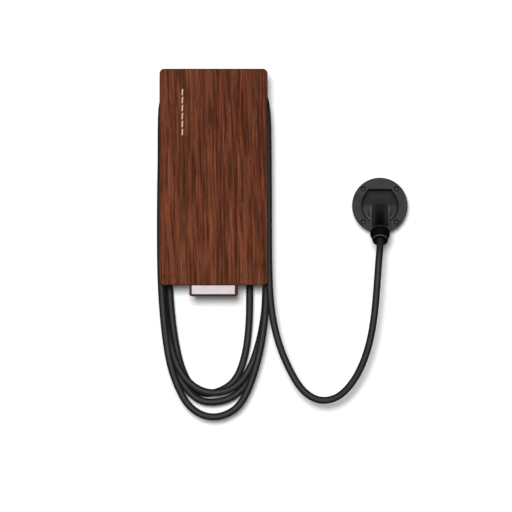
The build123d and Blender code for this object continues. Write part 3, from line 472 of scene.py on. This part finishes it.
def circuit_board():
    """Green solder mask with traces and bare tinned pads."""
    finish = Finish("circuit_board")
    upright = finish.node("ShaderNodeMapping")
    upright.inputs["Rotation"].default_value = (radians(90), 0, 0)
    upright.inputs["Scale"].default_value = (150.0, 150.0, 150.0)
    finish.link(finish.place, upright.inputs["Vector"])
    traces = finish.node("ShaderNodeTexBrick")
    finish.link(upright.outputs["Vector"], traces.inputs["Vector"])
    for key, colour in (("Color1", (22, 92, 52)), ("Color2", (18, 80, 46)), ("Mortar", (36, 118, 66))):
        traces.inputs[key].default_value = (*tint(*colour), 1.0)
    traces.inputs["Mortar Size"].default_value = 0.03
    spots = finish.node("ShaderNodeTexVoronoi")
    spots.inputs["Scale"].default_value = 260.0
    finish.link(finish.place, spots.inputs["Vector"])
    pads = finish.grey(spots.outputs["Distance"], 0.12, 0.08)
    tone = finish.mix(pads, traces.outputs["Color"], tint(200, 200, 190))
    return finish.set(tone, finish.grey(pads, 0.0, 1.0, 0.32, 0.5), finish.bump(pads, 0.0001, 0.5))


black_shell = moulded("black_shell", tint(45, 45, 46), roughness=0.74, specular=0.28, spread=0.1)
nut_black = moulded("nut_black", tint(8, 8, 9), roughness=0.7, specular=0.06)
grey_shell = moulded("grey_shell", tint(186, 186, 180), roughness=0.55)
relay_shell = moulded("relay_shell", tint(26, 26, 28), roughness=0.4)
wire_cover = moulded("wire_cover", tint(120, 66, 36), roughness=0.45)
seal = moulded("seal_rubber_finish", tint(20, 20, 20), roughness=0.85, grain=500.0, depth=0.0001,
               specular=0.25)
zinc_sheet = metal("zinc_sheet", tint(176, 178, 180), roughness=0.42)
zinc_screw = metal("zinc_screw", tint(186, 184, 176), brushed=(500.0, 60.0, 500.0))
badge_metal = metal("badge_metal_finish", tint(195, 187, 189), roughness=0.6, brushed=(60.0, 60.0, 1600.0),
                    metallic=0.1)
contact_metal = metal("silvered_contact", tint(205, 198, 176), roughness=0.3)
panel_wood = walnut("panel_walnut", tint(112, 60, 36), tint(82, 40, 21), tint(62, 26, 10))
tab_wood = walnut("tab_walnut", tint(122, 72, 52), tint(104, 58, 42), tint(80, 42, 30))

finish_nodes = [
    (panel_wood, ["front_panel"]),
    (tab_wood, ["badge_tab"]),
    (badge_metal, ["badge_plate"]),
    (milky_light(), ["light_diffuser", "led_lamps", "light_guide"]),
    (black_shell, ["panel_frame", "rear_housing", "service_cover", "holder_body"]),
    (zinc_sheet, ["wall_bracket", "control_module"]),
    (zinc_screw, ["panel_screws", "cover_screws", "lock_screw", "board_screws", "terminal_screws"]),
    (circuit_board(), ["main_board", "led_board"]),
    (relay_shell, ["power_relays", "leakage_sensor", "power_supply"]),
    (grey_shell, ["supply_terminals", "output_terminals"]),
    (wire_cover, ["output_wires"]),
    (nut_black, ["cable_gland_body", "cable_gland_nut", "supply_gland_body", "supply_gland_nut",
                 "supply_gland_locknut", "contact_carrier"]),
    (holder_screw_skin(), ["holder_screws"]),
    (connector_housing_skin(), ["connector_housing"]),
    (grip_skin(), ["connector_grip"]),
    (contact_metal, ["contacts"]),
    (nut_skin(), ["connector_nut"]),
]
node_finish = {name: finish for finish, names in finish_nodes for name in names}

# Seals, the clamp and the cord's plain solids are rubber
for name, item in nodes.items():
    wanted = node_finish.get(name, seal)
    if not item.data.materials:
        item.data.materials.append(wanted)
    for index in range(len(item.data.materials)):
        item.data.materials[index] = wanted
cable.data.materials.append(cable_sheath())


# Bare badge plate, over the lower rim of the tab as in the photograph
def build_plate():
    """Plate with chamfered edges."""
    left, right, low, high = -38.6, 37.6, -207.0, -191.6
    back, shoulder, face = 109.5, 110.25, 110.5
    chamfer = 0.25
    mesh = bmesh.new()
    rings = []
    for depth, inset in ((back, 0.0), (shoulder, 0.0), (face, chamfer)):
        corners = ((left + inset, low + inset), (right - inset, low + inset),
                   (right - inset, high - inset), (left + inset, high - inset))
        rings.append([mesh.verts.new(spot(x, depth, z)) for x, z in corners])
    for inner, outer in zip(rings, rings[1:]):
        for side in range(4):
            after = (side + 1) % 4
            mesh.faces.new((inner[side], inner[after], outer[after], outer[side]))
    mesh.faces.new(rings[0])
    mesh.faces.new(rings[-1])
    bmesh.ops.recalc_face_normals(mesh, faces=mesh.faces)
    return add_mesh("bare_plate", mesh)


plate = build_plate()
plate.data.materials.append(badge_metal)
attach(plate, "front")
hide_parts("badge_plate")


# Bend relief on the cable below its gland
def ring_mesh(name, rings, sides=40):
    """Smooth closed skin through level rings, each given by its centre and radius."""
    mesh = bmesh.new()
    loops = []
    for centre, radius in rings:
        turns = [2 * pi * side / sides for side in range(sides)]
        loops.append([mesh.verts.new(centre + Vector((radius * cos(turn), radius * sin(turn), 0)))
                      for turn in turns])
    for lower, upper in zip(loops, loops[1:] + loops[:1]):
        for side in range(sides):
            after = (side + 1) % sides
            mesh.faces.new((lower[side], lower[after], upper[after], upper[side]))
    bmesh.ops.recalc_face_normals(mesh, faces=mesh.faces)
    item = add_mesh(name, mesh)
    for face in item.data.polygons:
        face.use_smooth = True
    return item


def build_bend_relief():
    """Sleeve that narrows downwards and follows the cable's lean, with ribs round it."""
    x, depth, lean = 63.8, 29.95, 0.35
    top, low = -166.5, -188.0
    top_radius, narrowing, rib_height = 8.7, 2.2, 0.7
    ribs, steps_per_rib = 6, 4
    inner = cable_diameter / 2 + 0.15
    steps = ribs * steps_per_rib
    rings = []
    for step in range(steps + 1):
        share = step / steps
        swell = rib_height if step % steps_per_rib in (0, 1) else 0.0
        radius = top_radius - narrowing * share + swell
        rings.append((spot(x, depth - lean * share, top + (low - top) * share), radius / 1000))
    rings.append((spot(x, depth - lean, low), inner / 1000))
    rings.append((spot(x, depth, top), inner / 1000))
    return ring_mesh("bend_relief", rings)


relief = build_bend_relief()
relief.data.materials.append(nut_black)
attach(relief, "wallbox")


# Wall behind the set: white to the camera, clear from its back, and no source of light on the object
def wall_paint():
    finish = Finish("white_wall", roughness=0.95, specular=0.1)
    colour = finish.ramp(finish.noise(3.0), [(0.3, (0.93,) * 3), (0.7, (0.95,) * 3)])
    finish.set(colour, None, finish.bump(finish.noise(420.0, detail=2.0), 0.00004, 0.3))
    rays = finish.node("ShaderNodeLightPath")
    seen = finish.math("ADD", rays.outputs["Is Camera Ray"], rays.outputs["Is Glossy Ray"])
    seen = finish.math("ADD", seen, rays.outputs["Is Transmission Ray"])
    glow = finish.node("ShaderNodeEmission")
    glow.inputs["Color"].default_value = (1.0, 1.0, 1.0, 1.0)
    finish.link(finish.math("MULTIPLY", seen, 0.04), glow.inputs["Strength"])
    lit = finish.node("ShaderNodeAddShader")
    finish.link(finish.shader.outputs["BSDF"], lit.inputs[0])
    finish.link(glow.outputs["Emission"], lit.inputs[1])
    clear = finish.node("ShaderNodeBsdfTransparent")
    choice = finish.node("ShaderNodeMixShader")
    finish.link(finish.node("ShaderNodeNewGeometry").outputs["Backfacing"], choice.inputs["Fac"])
    finish.link(lit.outputs["Shader"], choice.inputs[1])
    finish.link(clear.outputs["BSDF"], choice.inputs[2])
    finish.link(choice.outputs["Shader"], finish.tree.nodes["Material Output"].inputs["Surface"])
    return finish.material


def build_wall():
    reach = 40.0  # further out than a long lens stands, so that a side view doesn't look past its edge
    back_off = 0.0004
    mesh = bmesh.new()
    corners = ((-reach, -reach), (reach, -reach), (reach, reach), (-reach, reach))
    mesh.faces.new([mesh.verts.new((x, back_off, z)) for x, z in corners])
    wall = add_mesh("wall", mesh)
    wall.data.materials.append(wall_paint())
    wall.visible_diffuse = False
    wall.visible_glossy = False
    wall.visible_shadow = False
    return wall


build_wall()


# Lamps: a key from the upper left, a soft fill from the front, and one behind the wall for back views
def add_sun(name, towards, strength, spread):
    data = bpy.data.lights.new(name, "SUN")
    data.energy = strength
    data.angle = radians(spread)
    lamp = add_object(name, data)
    lamp.rotation_mode = "QUATERNION"
    lamp.rotation_quaternion = Vector(towards).to_track_quat("-Z", "Y")


add_sun("key", (0.045, 1.0, -0.105), 2.95, 10.5)
add_sun("soft_front", (0.05, 1.0, -0.25), 0.5, 70.0)
add_sun("back_fill", (0.08, -1.0, -0.12), 1.6, 20.0)

# Surround: a weak even light, and plain white to the camera
world = bpy.data.worlds.new("surround")
bpy.context.scene.world = world
world.use_nodes = True
tree = world.node_tree
sky = tree.nodes["Background"]
sky.inputs["Color"].default_value = (1.0, 1.0, 1.0, 1.0)
sky.inputs["Strength"].default_value = 0.08
backdrop = tree.nodes.new("ShaderNodeBackground")
backdrop.inputs["Color"].default_value = (1.0, 1.0, 1.0, 1.0)
backdrop.inputs["Strength"].default_value = 1.0
seen = tree.nodes.new("ShaderNodeLightPath").outputs["Is Camera Ray"]
choice = tree.nodes.new("ShaderNodeMixShader")
tree.links.new(seen, choice.inputs["Fac"])
tree.links.new(sky.outputs["Background"], choice.inputs[1])
tree.links.new(backdrop.outputs["Background"], choice.inputs[2])
tree.links.new(choice.outputs["Shader"], tree.nodes["World Output"].inputs["Surface"])
bpy.context.scene.view_settings.view_transform = "Standard"
